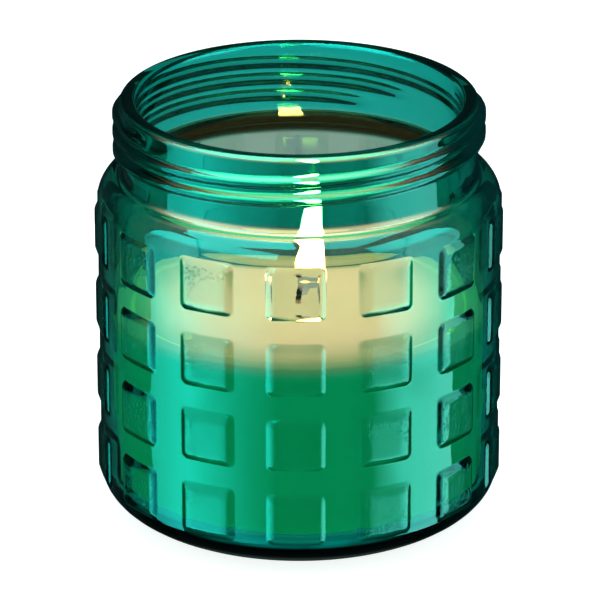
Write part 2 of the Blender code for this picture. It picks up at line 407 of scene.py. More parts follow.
def add_object(name, bm, material=None, sharp=40.0):
    """Makes the bmesh an object at the origin, closed, facing out and shaded smooth."""
    bmesh.ops.remove_doubles(bm, verts=bm.verts, dist=SAME_PLACE)
    bmesh.ops.recalc_face_normals(bm, faces=bm.faces)
    mesh = bpy.data.meshes.new(name)
    bm.to_mesh(mesh)
    bm.free()
    mesh.shade_smooth()
    if sharp:
        mesh.set_sharp_from_angle(angle=math.radians(sharp))
    if material:
        mesh.materials.append(material)
    made = bpy.data.objects.new(name, mesh)
    bpy.context.scene.collection.objects.link(made)
    return made


def arc(centre, radii, first, last, steps):
    """Points of a stretch of ellipse in the (radius, height) plane, angles in degrees."""
    turns = [math.radians(first + (last - first) * i / steps) for i in range(steps + 1)]
    return [(centre[0] + radii[0] * math.cos(t), centre[1] + radii[1] * math.sin(t)) for t in turns]


def run_to(outline, last, steps):
    """Carries an outline on in a straight line."""
    first = outline[-1]
    outline += [tuple(a + (b - a) * i / steps for a, b in zip(first, last)) for i in range(1, steps + 1)]


def turned(bm, outline, angles):
    """Skins rings of points about Z, closing ends that lie on the axis. Gives the rings."""
    rings = []
    for radius, height in outline:
        if radius < ON_AXIS:
            rings.append([bm.verts.new((0.0, 0.0, height))])
            continue
        rings.append([bm.verts.new((radius * math.cos(a), radius * math.sin(a), height)) for a in angles])
    skin_all(bm, rings)
    return rings


def skin(bm, lower, upper):
    """Faces between two rings, either of which may be one point."""
    for i in range(max(len(lower), len(upper))):
        corners = []
        for ring, places in ((lower, (i, i - 1)), (upper, (i - 1, i))):
            corners += [ring[p] for p in places] if len(ring) > 1 else [ring[0]]
        bm.faces.new(corners)


def even_angles(count):
    return [math.tau * i / count for i in range(count)]


def level_ring(bm, centre, radius, count):
    """A level ring of points round a centre."""
    return [
        bm.verts.new(centre + Vector((math.cos(a), math.sin(a), 0.0)) * radius) for a in even_angles(count)
    ]


def skin_all(bm, rings):
    """Faces between each ring and the next."""
    for lower, upper in zip(rings, rings[1:]):
        skin(bm, lower, upper)


def ride(piece, slot, *nodes):
    """The piece moves with the jar and stands for the CAD nodes, whose parts it hides; the slot is not used.
    """
    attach(piece, BODY)
    if nodes:
        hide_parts(*nodes)
    return piece


def turned_piece(name, outline, count, material, slot, node):
    """A piece turned about Z, which stands for a CAD node."""
    bm = bmesh.new()
    turned(bm, outline, even_angles(count))
    ride(add_object(name, bm, material), slot, node)


# ---- glass jar

# Turning away from the eye, 0 square on and 1 edge on: where a change starts, and over how much. The slope
# and edge values set where painted shade darkens the glass
FACING_ENDS = (0.14, 0.28)
SLOPE_DARKENS = (0.25, 0.22)
EDGE_DARKENS = (0.64, 0.20)
EDGE_SHARE = 0.95

COAT = 0.02
# Extra coat in the painted glow band
COAT_IN_GLOW_BAND = 0.05
SLOPE_ROUGHNESS = 0.14
# Share of the painted shade band inside the shoulder
BAND_SHADE_SHARE = 0.9

# Painted light, as emission in the glass: highlights on the thread and the lip, and glows at the foot and
# round the heel
THREAD_LIGHT = 0.55
LIP_LIGHT = 0.45
FOOT_LIGHT = 1.6
FOOT_GLOW = (0.0, 0.2, 0.16)
HEEL_GLOW = (0.016, 0.026, 0.021)

# Mesh lines up and round the jar: the gap on a pad's face, and the gap on its flank
PAD_FOOT = 0.1 * MM
GAPS_UP = (0.95 * MM, 0.34 * MM)
GAPS_ROUND = (0.036, 0.0085)
SHOULDER_STEPS = 14
SHOULDER_SQUARE = 1.25
LIP_STEPS = 7

# First and last angle of each start of the thread, in degrees
THREAD_ENDS = ((60.0, 575.0), (225.0, 570.0))


def glass(look, jar):
    """Blue-green pressed glass: the colour comes from how much glass the light goes through, with painted
    glow over the wax, painted shade on pad slopes and edges, a painted brown band inside the shoulder and
    painted highlights.
    """
    made = Material(
        "blue_green_glass",
        Base_Color=WHITE,
        IOR=1.5,
        Transmission_Weight=1.0,
        Specular_Tint=look.glass_shine,
        Coat_Roughness=0.02,
        Coat_IOR=1.5,
        Emission_Strength=1.0,
    )
    x, y, z = made.parts(made.place())
    shelf = jar.shoulder_start + jar.shoulder_height
    turned_away = made.add("ShaderNodeLayerWeight", None, Blend=0.5, out=1)
    facing = 1.0 - turned_away.after(*FACING_ENDS)
    slope = made.attribute("slope")
    outside = made.attribute("outside")
    entering = 1.0 - made.pick("ShaderNodeNewGeometry", "Backfacing")

    # Painted glow: over the wax the glass takes a pale tint that lets the glow through, fading to the edge
    # tint where the glass turns away from the eye
    painted_glow_band = z.after(WAX_HIGH.z - 2.5 * MM, 4.5 * MM) * z.before(shelf + 1.8 * MM, 1.0 * MM)
    pale = made.mix(facing, look.glass_edge, look.glass_glow_tint)
    clear = made.mix(painted_glow_band, look.glass_deep, pale)
    # Painted shade: pad slopes, and the glass seen edge on, turn dark
    painted_shade = slope * turned_away.after(*SLOPE_DARKENS)
    painted_shade = painted_shade.math("MAXIMUM", turned_away.after(*EDGE_DARKENS) * EDGE_SHARE)
    made.set(Base_Color=made.mix(painted_shade, clear, look.glass_shade_tint))
    made.set(Coat_Weight=painted_glow_band * facing * COAT_IN_GLOW_BAND + COAT)
    made.set(Roughness=slope * facing * SLOPE_ROUGHNESS)

    # Painted shade: a dull brown band covers the inside of the glass under the shoulder
    painted_band_mask = z.after(jar.shoulder_start - 1.0 * MM, 1.5 * MM) * z.before(shelf + 0.7 * MM, 0.9 * MM)
    made.cover(painted_band_mask * entering * (1.0 - outside) * BAND_SHADE_SHARE, look.glass_band_shade)
    # Painted highlights and glows, as emission
    made.set(Emission_Color=caught_light(made, look, jar, facing, outside, entering))
    pressed_marks(made, x)
    settings = {"Color": look.glass_clear, "Density": look.glass_depth}
    volume = made.add("ShaderNodeVolumeAbsorption", None, **settings)
    made.tree.links.new(volume.socket, made.output.inputs["Volume"])
    return made.material


def caught_light(made, look, jar, facing, outside, entering):
    """Painted light, as emission: over the shoulder, on the thread, at the lip, under the wax and round the
    heel.
    """
    x, y, z = made.parts(made.place())
    fillet = jar.shoulder_start + jar.shoulder_height + 0.5 * MM
    thread = made.attribute("thread")
    flank = (thread * (1.0 - thread) * 4.0) ** 3.0 * THREAD_LIGHT
    caught = ((1.0 - abs(z - fillet) / (1.5 * MM)) * 1.6).smooth().math("MAXIMUM", flank)
    rim = made.from_axis(x, y).after(jar.neck_radius - 1.3 * MM, 0.4 * MM)
    lip = z.after(JAR_TOP - 1.3 * MM, 0.5 * MM) * rim
    caught = (caught * outside).math("MAXIMUM", lip * LIP_LIGHT)
    caught = caught * facing * (made.noise(60.0) * 0.6 + 0.6) * entering
    foot = z.after(jar.floor + 0.6 * MM, 0.6 * MM) * z.before(jar.floor + 4.0 * MM, 1.6 * MM)
    foot = foot * facing * (made.noise(110.0, detail=1.0) * FOOT_LIGHT)
    heel = z.before(jar.heel_height / 2, 1.4 * MM) * outside * entering
    low_light = made.mix(foot, made.mix(heel, BLACK, HEEL_GLOW), FOOT_GLOW)
    return made.mix(caught, low_light, look.glass_caught)


def pressed_marks(made, x):
    """The ripple of pressed glass, and fine pits on the pads in patches away from the middle."""
    ripple = made.noise(55.0, detail=1.0)
    patches = made.noise(48.0) * 2.6 - 1.1
    pits = ((made.noise(1500.0, detail=1.0) - 0.54) * 9.0).smooth() * patches
    pits = (pits * abs(x).after(6.0 * MM, 6.0 * MM)).math("MAXIMUM", 0.0)
    made.bump(ripple + pits * made.attribute("plateau") * 0.45, 0.35 * MM)


def lines_across(edges, flank, foot, ends, spacing):
    """Places of mesh lines along a row of pads: wide apart, and closer on each flank."""
    wide, close = spacing
    places = [ends[0]]
    for low, high in edges:
        stops = ((low - foot, wide), (low, foot), (low + flank, close))
        stops += ((high - flank, wide), (high, close), (high + foot, foot))
        for stop, gap in stops:
            places += even_steps(places[-1], stop, gap)
    return places + even_steps(places[-1], ends[1], wide)


def even_steps(first, last, gap):
    """Places from first, which is left out, to last, about a gap apart."""
    count = max(1, round((last - first) / gap))
    return [first + (last - first) * i / count for i in range(1, count + 1)]


def jar_outside(jar, pads):
    """(radius, height) of the rings outside, from the standing ring to the top of the lip."""
    foot = jar.body_radius - jar.heel_width
    top = JAR_TOP
    outline = [(foot - jar.standing_ring, 0.0)]
    outline += arc((foot, jar.heel_height), (jar.heel_width, jar.heel_height), -90, -24, 9)
    low = outline[-1][1]
    starts = [pads.lowest + row * pads.pitch for row in range(pads.rows)]
    edges = [(start, start + pads.height) for start in starts]
    heights = lines_across(edges, pads.flank, PAD_FOOT, (low, jar.shoulder_start), GAPS_UP)
    for height in heights[1:]:
        drop = max(0.0, 1.0 - height / jar.heel_height)
        outline.append((foot + jar.heel_width * math.sqrt(1.0 - drop * drop), height))
    ledge = jar.neck_radius + jar.neck_fillet
    for step in range(1, SHOULDER_STEPS + 1):
        turn = math.pi / 2 * step / SHOULDER_STEPS
        radius = ledge + (jar.body_radius - ledge) * max(0.0, math.cos(turn)) ** SHOULDER_SQUARE
        outline.append((radius, jar.shoulder_start + jar.shoulder_height * math.sin(turn) ** SHOULDER_SQUARE))
    shelf = jar.shoulder_start + jar.shoulder_height
    fillet = (jar.neck_fillet, jar.neck_fillet)
    outline += arc((ledge, shelf + jar.neck_fillet), fillet, 270, 180, 5)[1:]
    run_to(outline, (jar.neck_radius, top - jar.lip_round), 42)
    lip = (jar.neck_radius - jar.lip_round, top - jar.lip_round)
    return outline + arc(lip, (jar.lip_round, jar.lip_round), 0, 90, LIP_STEPS)[1:]


def jar_inside(jar):
    """(radius, height) of the rings inside, from the top of the lip to the floor."""
    mouth = jar.neck_radius - jar.neck_wall
    inner = jar.body_radius - jar.body_wall
    top = JAR_TOP
    lip = (mouth + jar.lip_round, top - jar.lip_round)
    outline = arc(lip, (jar.lip_round, jar.lip_round), 90, 180, LIP_STEPS)
    rise = jar.shoulder_height + jar.neck_fillet - jar.body_wall
    bend, below = 2.5 * MM, 2.0 * MM
    run_to(outline, (mouth, jar.shoulder_start + rise + bend), 6)
    outline += arc((mouth + bend, jar.shoulder_start + rise + bend), (bend, bend), 180, 215, 3)[1:]
    outline += arc((mouth, jar.shoulder_start - below), (inner - mouth, rise + below), 62, 0, 8)
    run_to(outline, (inner, jar.floor + jar.inner_heel), 4)
    corner = (inner - jar.inner_heel, jar.floor + jar.inner_heel)
    outline += arc(corner, (jar.inner_heel, jar.inner_heel), 0, -90, 8)[1:]
    run_to(outline, (0.0, jar.floor), 5)
    return outline


def raised_pads(shape, radius, bearing, height):
    """A pad's own rise, from 0 at its edge to 1, and how far it raises the wall."""
    column = math.tau / shape["Columns"]
    wrapped = (bearing - FRONT - shape["Turn"]) / column + 0.5
    across = (wrapped - wrapped.math("FLOOR") - 0.5) * column * radius
    gap = (shape["Pitch"] - shape["Pad height"]) / 2.0
    row = ((height - shape["Lowest"] + gap) / shape["Pitch"]).math("FLOOR")
    row = row.math("MAXIMUM", 0.0).math("MINIMUM", shape["Rows"] - 1.0)
    up = height - shape["Lowest"] - row * shape["Pitch"] - shape["Pad height"] / 2.0
    side = abs(across) - shape["Pad width"] / 2.0 + shape["Corner"]
    end = abs(up) - shape["Pad height"] / 2.0 + shape["Corner"]
    out = (side.math("MAXIMUM", 0.0) ** 2.0 + end.math("MAXIMUM", 0.0) ** 2.0).math("SQRT")
    depth = shape["Corner"] - out - side.math("MAXIMUM", end).math("MINIMUM", 0.0)
    hollow = (1.0 - (across * 2.0 / shape["Pad width"]) ** 2.0).math("MAXIMUM", 0.0)
    rise = 1.0 - (1.0 - (depth / shape["Flank"]).held()) ** 1.5
    return rise, rise * (shape["Raise"] - shape["Flatten"] * hollow)


def screw_thread(shape, bearing, height):
    """How far the screw thread stands out; its two starts are half a turn apart."""
    lift = None
    for start, (first, last) in enumerate(THREAD_ENDS):
        turn = bearing / math.tau + start * 0.5 - 0.25
        above = (height - shape["First crest"]) / shape["Lead"]
        whole_turns = (above - turn).math("ROUND")
        off = abs(above - turn - whole_turns) * shape["Lead"]
        total = (turn + whole_turns + 0.25) * math.tau
        fade = total.after(math.radians(first), shape["Fade"])
        fade = fade * total.before(math.radians(last), shape["Fade"])
        rib = ((1.0 - off * 2.0 / shape["Thread width"]) * 1.45).smooth()
        one = shape["Thread raise"] * rib * fade
        lift = one if lift is None else lift.math("MAXIMUM", one)
    return lift


def pressed(made, jar, pads, thread, material):
    """Presses the pads and the thread into the jar's outside with Geometry Nodes."""
    values = {
        "Columns": pads.columns,
        "Rows": pads.rows,
        "Turn": pads.turn,
        "Pad width": pads.width,
        "Pad height": pads.height,
        "Pitch": pads.pitch,
        "Lowest": pads.lowest,
        "Raise": pads.lift,
        "Flatten": pads.flatten,
        "Flank": pads.flank,
        "Corner": pads.corner,
        "Wall radius": jar.body_radius,
        "Neck foot": jar.shoulder_start + jar.shoulder_height + jar.neck_fillet,
        "First crest": JAR_TOP - thread.below_rim,
        "Lead": thread.lead,
        "Thread width": thread.width,
        "Thread raise": thread.lift,
        "Fade": thread.fade,
        "Material": material,
    }
    shape = Shape("pressed_outside", values)
    x, y, height = shape.parts(shape.add("GeometryNodeInputPosition"))
    bearing = y.math("ARCTAN2", x)
    radius = shape.from_axis(x, y).math("MAXIMUM", ON_AXIS)
    outside = shape.add("GeometryNodeInputNamedAttribute", {"data_type": "FLOAT"}, "outside")
    on_neck = height.math("GREATER_THAN", shape["Neck foot"] - 0.5 * MM)
    rise, lift = raised_pads(shape, shape["Wall radius"], bearing, height)
    rise, lift = rise * (1.0 - on_neck), lift * (1.0 - on_neck)
    plateau = (rise * 4.0 - 3.0).smooth() * outside
    slope = (rise * (1.0 - rise) * 6.0).held() * outside
    screw = screw_thread(shape, bearing, height) * on_neck * outside
    lift = lift * outside + screw
    push = shape.add("ShaderNodeCombineXYZ", None, x * lift / radius, y * lift / radius, 0.0)
    moved = shape.add("GeometryNodeSetPosition", None, Geometry=shape["Geometry"], Offset=push)
    stored = {"data_type": "FLOAT", "domain": "POINT"}
    marks = {"plateau": plateau, "slope": slope, "thread": screw / shape["Thread raise"]}
    for name, value in marks.items():
        moved = shape.add("GeometryNodeStoreNamedAttribute", stored, Geometry=moved, Name=name, Value=value)
    shape.finish(moved)
    return shape.run(made)


class CANDLE_OT_glass_jar(bpy.types.Operator):
    """Make the pressed-glass jar: foot, padded wall, shoulder and threaded neck."""

    bl_idname = "candle.glass_jar"
    bl_label = "Glass jar"

    def execute(self, context):
        scene = context.scene
        jar, pads = scene.candle_jar, scene.candle_pads
        half = pads.width / 2 / jar.body_radius
        flank = pads.flank / jar.body_radius
        column = math.tau / pads.columns
        ends, foot = (-column / 2, column / 2), PAD_FOOT / jar.body_radius
        one = lines_across([(-half, half)], flank, foot, ends, GAPS_ROUND)
        angles = [FRONT + pads.turn + column * c + a for c in range(pads.columns) for a in one[1:]]
        outside = jar_outside(jar, pads)
        inside = jar_inside(jar)[1:]
        under = [(0.0, jar.punt_depth)] + [
            (outside[0][0] * s, jar.punt_depth * (1.0 - s**4)) for s in (0.25, 0.5, 0.75, 0.9, 0.97)
        ]
        bm = bmesh.new()
        mark = bm.verts.layers.float.new("outside")
        rings = turned(bm, under + outside + inside, angles)
        for ring in rings[len(under) : len(under) + len(outside) - LIP_STEPS]:
            for corner in ring:
                corner[mark] = 1.0
        material = glass(scene.candle_look, jar)
        made = pressed(add_object("jar", bm, sharp=None), jar, pads, scene.candle_thread, material)
        made.data.shade_smooth()
        ride(made, "jar_glass", "glass_jar")
        return {"FINISHED"}


# ---- wax

GLOW_SPREAD = 44.0 * MM
GLOW_FADE = 18.0 * MM
GLOW_FAR = 0.16
GLOW_DEPTH = 4.0 * MM

DISC_THICK = 0.4 * MM
NECK_WALL = 0.35 * MM
WAX_EDGE = 0.6 * MM


def glowing(made, look):
    """Adds the flame's light that the wax scatters: strongest at the wick, fading outwards."""
    x, y, z = made.parts(made.place())
    share = made.from_axis(x, y).before(GLOW_SPREAD, GLOW_FADE)
    share = share * (1.0 - GLOW_FAR) + GLOW_FAR
    under = z.after(POOL_HIGH.z - GLOW_DEPTH, GLOW_DEPTH)
    mottle = made.noise(90.0, detail=3.0) * 0.35 + 0.82
    light = made.mix(share * under * mottle, look.glow_deep, look.glow)
    made.set(Emission_Color=light, Emission_Strength=look.glow_strength)


def solid_wax(look):
    """Cream wax, mottled where it has set against the glass."""
    made = Material("container_wax", Roughness=0.5, Specular_IOR_Level=0.0)
    cloud = made.noise(38.0, detail=4.0, roughness=0.6)
    pale = tuple(min(1.0, c * 1.12) for c in look.wax)
    made.set(Base_Color=made.mix((cloud - 0.35) * 2.2, look.wax, pale))
    made.bump(made.noise(160.0, detail=3.0), 0.25 * MM)
    glowing(made, look)
    return made.material


def liquid_wax(look):
    """Melted wax: clear yellow, wet, lit from the wick."""
    made = Material("melted_wax", Roughness=0.2, Specular_IOR_Level=0.0)
    made.set(Base_Color=tuple(c * s for c, s in zip(look.wax, (1.0, 0.95, 0.8))))
    made.bump(made.noise(30.0, detail=1.0), 0.2 * MM)
    glowing(made, look)
    return made.material


class CANDLE_OT_wax(bpy.types.Operator):
    """Make the solid wax with its dish and bore, and the melted pool in it."""

    bl_idname = "candle.wax"
    bl_label = "Wax"

    def execute(self, context):
        scene = context.scene
        jar, candle, look = scene.candle_jar, scene.candle_sizes, scene.candle_look
        bore = candle.braid_radius + GAP
        self.make_solid(jar, candle, bore, solid_wax(look))
        self.make_pool(candle, bore, liquid_wax(look))
        return {"FINISHED"}

    @staticmethod
    def make_solid(jar, candle, bore, material):
        outer, level = WAX_HIGH.x, WAX_HIGH.z
        corner = jar.inner_heel - GAP
        pool_floor = POOL_LOW.z - GAP
        pocket = DISC_HIGH.x + GAP
        roof = PAD_HIGH.z + GAP + DISC_THICK + GAP
        collar = bore + NECK_WALL + GAP
        outline = [(pocket, WAX_LOW.z)]
        outline += arc((outer - corner, WAX_LOW.z + corner), (corner, corner), -90, 0, 8)
        run_to(outline, (outer, level - WAX_EDGE), 24)
        outline += arc((outer - WAX_EDGE, level - WAX_EDGE), (WAX_EDGE, WAX_EDGE), 0, 90, 4)[1:]
        run_to(outline, (candle.pool_radius + 0.5 * MM, level), 3)
        run_to(outline, (candle.pool_radius - candle.pool_slope, pool_floor), 4)
        run_to(outline, (bore, pool_floor), 8)
        run_to(outline, (bore, DISC_HIGH.z + GAP), 4)
        outline += [(collar, DISC_HIGH.z + GAP), (collar, roof), (pocket, roof), (pocket, WAX_LOW.z)]
        turned_piece("wax", outline, 128, material, "wax", "wax_fill")

    @staticmethod
    def make_pool(candle, bore, material):
        rim = candle.pool_radius - 1.6 * GAP
        base, top = POOL_LOW.z, POOL_HIGH.z
        foot = rim - candle.pool_slope
        level = top - 0.35 * MM
        outline = [(bore, base), (foot, base)]
        run_to(outline, (rim, top), 4)
        run_to(outline, (rim - 1.5 * MM, level), 4)
        run_to(outline, (bore + 2.0 * MM, level), 18)
        run_to(outline, (bore, top), 5)
        run_to(outline, (bore, base), 2)
        turned_piece("pool", outline, 128, material, "melted_wax", "melt_pool")


# ---- wick

CORE_RADIUS = 0.4 * MM
CORE_STEPS = 40
BRAID_POINTS = 260
BRAID_TURNS = 7.0
WEAVE = 0.16
YARN_SHARE = 0.62
EMBER = (1.0, 0.22, 0.03)


def wick_line(candle, height):
    """The wick's centre at a height: straight in the wax, leaning over above it."""
    above = max(0.0, height - POOL_HIGH.z) / (WICK_HIGH.z - POOL_HIGH.z)
    return Vector((candle.lean * above * above, 0.0, height))


def cotton():
    """Waxed white yarn, charred black where it burns."""
    made = Material("wick_cotton", Roughness=0.8)
    x, y, z = made.parts(made.place())
    char = z.after(POOL_HIGH.z + 0.2 * MM, 1.0 * MM)
    ember = z.after(WICK_HIGH.z - 1.2 * MM, 1.0 * MM)
    fibre = made.noise(2200.0, detail=3.0)
    yarn = made.mix(fibre, (0.70, 0.62, 0.42), (0.86, 0.80, 0.62))
    soot = made.mix(fibre, (0.006, 0.005, 0.004), (0.03, 0.025, 0.02))
    made.set(Base_Color=made.mix(char, yarn, soot))
    made.set(Emission_Color=made.mix(ember * fibre, BLACK, EMBER), Emission_Strength=2.0)
    made.bump(fibre, 0.05 * MM)
    return made.material


class CANDLE_OT_wick(bpy.types.Operator):
    """Make the braided wick and the paper core inside it."""

    bl_idname = "candle.wick"
    bl_label = "Wick"

    def execute(self, context):
        candle = context.scene.candle_sizes
        self.make_braid(candle, cotton())
        paper = Material("wick_paper", Roughness=0.9, Base_Color=(0.55, 0.48, 0.36))
        paper.bump(paper.noise(1500.0), 0.04 * MM)
        bm = bmesh.new()
        low, high = CORE_LOW.z, CORE_HIGH.z
        heights = [low + (high - low) * step / CORE_STEPS for step in range(CORE_STEPS + 1)]
        rings = [level_ring(bm, wick_line(candle, height), CORE_RADIUS, 16) for height in heights]
        skin_all(bm, rings)
        bm.faces.new(rings[0])
        bm.faces.new(rings[-1])
        ride(add_object("wick_paper_core", bm, paper.material), "paper", "wick_core")
        return {"FINISHED"}

    @staticmethod
    def make_braid(candle, material):
        """Geometry Nodes wind yarns both ways round the wick's line, over and under each other."""
        low, high = WICK_LOW.z, WICK_HIGH.z
        values = {
            "Strands": candle.strands,
            "Foot": low + candle.strand_radius,
            "Rise": high - low - 2 * candle.strand_radius,
            "Braid radius": candle.braid_radius - candle.strand_radius * 1.05,
            "Strand radius": candle.strand_radius,
            "Pool top": POOL_HIGH.z,
            "Shows": high - POOL_HIGH.z,
            "Lean": candle.lean,
            "Turns": BRAID_TURNS,
            "Material": material,
        }
        shape = Shape("braided_wick", values)
        points = shape.add("GeometryNodeMeshLine", {"mode": "OFFSET"}, Count=BRAID_POINTS)
        yarns = []
        for way in (1.0, -1.0):
            line = shape.add("GeometryNodeMeshToCurve", None, points)
            half = shape["Strands"] / 2.0
            splines = {"domain": "SPLINE"}
            copies = shape.add("GeometryNodeDuplicateElements", splines, Geometry=line, Amount=half)
            number = Value(shape, shape.last.outputs["Duplicate Index"])
            along = shape.add("GeometryNodeSplineParameter")
            turn = (along * shape["Turns"] + number * 2.0 / shape["Strands"]) * math.tau * way
            weave = (along * shape["Turns"] * shape["Strands"] * math.pi + number * math.pi).math("SINE")
            out = shape["Braid radius"] * (1.0 + weave * way * WEAVE - WEAVE)
            height = along * shape["Rise"] + shape["Foot"]
            above = ((height - shape["Pool top"]) / shape["Shows"]).math("MAXIMUM", 0.0)
            x = turn.math("COSINE") * out + shape["Lean"] * above * above
            spot = shape.add("ShaderNodeCombineXYZ", None, x, turn.math("SINE") * out, height)
            wound = shape.add("GeometryNodeSetPosition", None, Geometry=copies, Position=spot)
            yarn = shape["Strand radius"] * YARN_SHARE
            section = shape.add("GeometryNodeCurvePrimitiveCircle", None, Resolution=7, Radius=yarn)
            tube = {"Curve": wound, "Profile_Curve": section, "Fill_Caps": True}
            yarns.append(shape.add("GeometryNodeCurveToMesh", None, **tube))
        joined = shape.tree.nodes.new("GeometryNodeJoinGeometry")
        for yarn in yarns:
            shape.tree.links.new(yarn.socket, joined.inputs[0])
        shape.finish(Value(shape, joined.outputs[0]))
        made = shape.run(add_object("wick_braided_cotton", bmesh.new()))
        made.data.shade_smooth()
        ride(made, "cotton", "wick_braid")


class CANDLE_OT_sustainer(bpy.types.Operator):
    """Make the stamped steel sustainer and the foam sticker under it."""

    bl_idname = "candle.sustainer"
    bl_label = "Sustainer"

    def execute(self, context):
        candle = context.scene.candle_sizes
        steel = Material("stamped_tinned_steel", Metallic=1.0, Base_Color=(0.62, 0.62, 0.60))
        steel.set(Roughness=steel.noise(300.0, detail=3.0) * 0.3 + 0.22)
        bore = candle.braid_radius + GAP
        neck = bore + NECK_WALL
        base, disc, top = DISC_LOW.z, DISC_LOW.z + DISC_THICK, DISC_HIGH.z
        edge, rolled, flare, burr = DISC_HIGH.x, 0.15 * MM, 0.8 * MM, 0.1 * MM
        outline = [(0.0, base), (edge - rolled, base), (edge, base + DISC_THICK / 2), (edge - rolled, disc)]
        outline += [(neck + flare, disc), (neck, disc + flare), (neck, top - burr), (neck - burr, top)]
        outline += [(bore, top), (bore, disc), (0.0, disc)]
        turned_piece("sustainer", outline, 72, steel.material, "tinned_steel", "wick_sustainer")
        foam = Material("adhesive_foam", Roughness=0.9, Base_Color=(0.84, 0.84, 0.80))
        foam.bump(foam.noise(1400.0, detail=2.0), 0.06 * MM)
        low, high, rim = PAD_LOW.z, PAD_HIGH.z, PAD_HIGH.x
        cut, corner, waist = 0.1 * MM, 0.15 * MM, 0.12 * MM
        outline = [(0.0, low), (rim - cut, low), (rim, low + corner), (rim - waist, (low + high) / 2)]
        outline += [(rim, high - corner), (rim - cut, high), (0.0, high)]
        turned_piece("foam_sticker", outline, 64, foam.material, "foam", "wick_sticker")
        return {"FINISHED"}


# ---- flame


def flame_width(share):
    """The flame's radius at a share of its height, against its widest."""
    return (1.0 - share) ** 0.5 * min(1.0, share / 0.3 + 0.02) ** 0.6 / 0.86


FLAME_STEPS = 48
FLAME_STOPS = (
    (0.0, (0.003, 0.003, 0.005)),
    (0.16, (0.006, 0.0065, 0.0045)),
    (0.28, (0.9, 0.27, 0.06)),
    (0.55, (1.0, 0.32, 0.08)),
    (0.86, (1.0, 0.26, 0.05)),
    (1.0, (1.0, 0.16, 0.02)),
)


def flame_light(look, foot, height):
    """Clear at the foot, orange above; the glass mirrors its upper part only in sparkles."""
    made = Material("flame", Roughness=1.0, Base_Color=BLACK, Specular_IOR_Level=0.0)
    x, y, z = made.parts(made.place())
    share = (z - foot) / height
    mirrored = made.pick("ShaderNodeLightPath", "Is Glossy Ray")
    mirrored = mirrored * (1.0 - made.pick("ShaderNodeLightPath", "Is Transmission Ray"))
    broken = ((made.noise(420.0) - 0.55) * 12.0).smooth() * share.after(0.8, 0.02)
    cut = mirrored * share.after(0.64, 0.05) * (1.0 - broken)
    flare = made.add("ShaderNodeValToRGB", {"stops": FLAME_STOPS}, share)
    made.set(Emission_Color=made.mix(cut, flare, BLACK), Emission_Strength=look.flame_strength)
    made.set(Alpha=(share / 0.2).smooth() * 0.75 + 0.2)
    return made.material


class CANDLE_OT_flame(bpy.types.Operator):
    """Make the flame: a tall drop of light over the wick."""

    bl_idname = "candle.flame"
    bl_label = "Flame"

    def execute(self, context):
        candle, look = context.scene.candle_sizes, context.scene.candle_look
        foot, height = WICK_HIGH.z - 3.2 * MM, candle.flame_height
        start = wick_line(candle, foot)
        aside = start.x + candle.lean + candle.flame_aside
        bm = bmesh.new()
        rings = [[bm.verts.new(start)]]
        for step in range(1, FLAME_STEPS):
            share = step / FLAME_STEPS
            centre = Vector((aside + candle.flame_lean * share**1.4, 0.0, foot + height * share))
            rings.append(level_ring(bm, centre, candle.flame_radius * flame_width(share), 40))
        rings.append([bm.verts.new((aside + candle.flame_lean, 0.0, foot + height))])
        skin_all(bm, rings)
        flame = add_object("flame", bm, flame_light(look, foot, height))
        flame.visible_diffuse = False
        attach(flame, BODY)
        return {"FINISHED"}


# ---- stage

CYAN = (0.03, 1.0, 0.97)
LEFT_SHADE = (0.06, 1.0, 0.97)
RIGHT_SHADE = (0.30, 1.0, 0.97)

# Brightness across each side light: place, share
LEFT_STOPS = ((0.0, 0.4), (0.36, 1.0), (0.52, 0.68), (0.8, 0.2), (1.0, 0.0))
RIGHT_STOPS = ((0.0, 0.0), (0.3, 1.0), (0.7, 1.0), (1.0, 0.75))

# Each side light dims above its lowest part and turns cyan at its top: height, over how much
DIM_ABOVE = (-0.205, 0.04)
DIM_SHARE = 0.32
CYAN_ABOVE = (0.28, 0.12)
CYAN_SHARE = 0.3
CYAN_BOOST = 3.0

# Each dark card: name, bearing from the front. Each top light: name, left edge, right edge, strength
DARK_CARDS = (("dark_left", -128.0), ("dark_right", 130.0))
TOP_LIGHTS = (("left", -0.80, -0.03, 11.0), ("right", 0.05, 0.50, 7.0))
TOP_FRONT, TOP_BACK, TOP_HEIGHT = -0.60, 0.30, 0.95

SKY = (0.78, 0.86, 0.86)
SKY_MIRRORED = (0.008, 0.045, 0.04)
BELOW = (0.01, 0.02, 0.02)


def emitting(name, strength, shade=WHITE):
    made = Material(name, Base_Color=BLACK, Emission_Color=shade, Emission_Strength=strength)
    return made.material


def graded(name, strength, shade, first, last, stops):
    """A light whose brightness follows stops across it, from one bearing to another."""
    made = Material(name, Base_Color=BLACK, Emission_Strength=strength)
    x, y, z = made.parts(made.place())
    bearing = x.math("ARCTAN2", -y)
    across = (bearing - math.radians(first)) / math.radians(last - first)
    shades = [(place, tuple(c * share for c in shade)) for place, share in stops]
    lower = made.add("ShaderNodeValToRGB", {"stops": shades}, across)
    lower = made.mix(z.after(*DIM_ABOVE) * DIM_SHARE, lower, BLACK)
    upper = tuple(CYAN_BOOST * c for c in CYAN)
    made.set(Emission_Color=made.mix(z.after(*CYAN_ABOVE) * CYAN_SHARE, lower, upper))
    return made.material


def card(name, bearing, distance, width, low, high, material):
    """An upright card that faces the jar, seen only in the glass."""
    turn = math.radians(bearing) + FRONT
    centre = Vector((math.cos(turn), math.sin(turn), 0.0)) * distance
    side = Vector((-math.sin(turn), math.cos(turn), 0.0)) * width / 2
    bm = bmesh.new()
    corners = ((-1, low), (1, low), (1, high), (-1, high))
    bm.faces.new([bm.verts.new(centre + side * s + Vector((0, 0, z))) for s, z in corners])
    return hidden(add_object(name, bm, material))


def hidden(made):
    """Leaves a card in reflections only."""
    made.visible_camera = False
    made.visible_diffuse = False
    made.visible_transmission = False
    made.visible_shadow = False
    return made


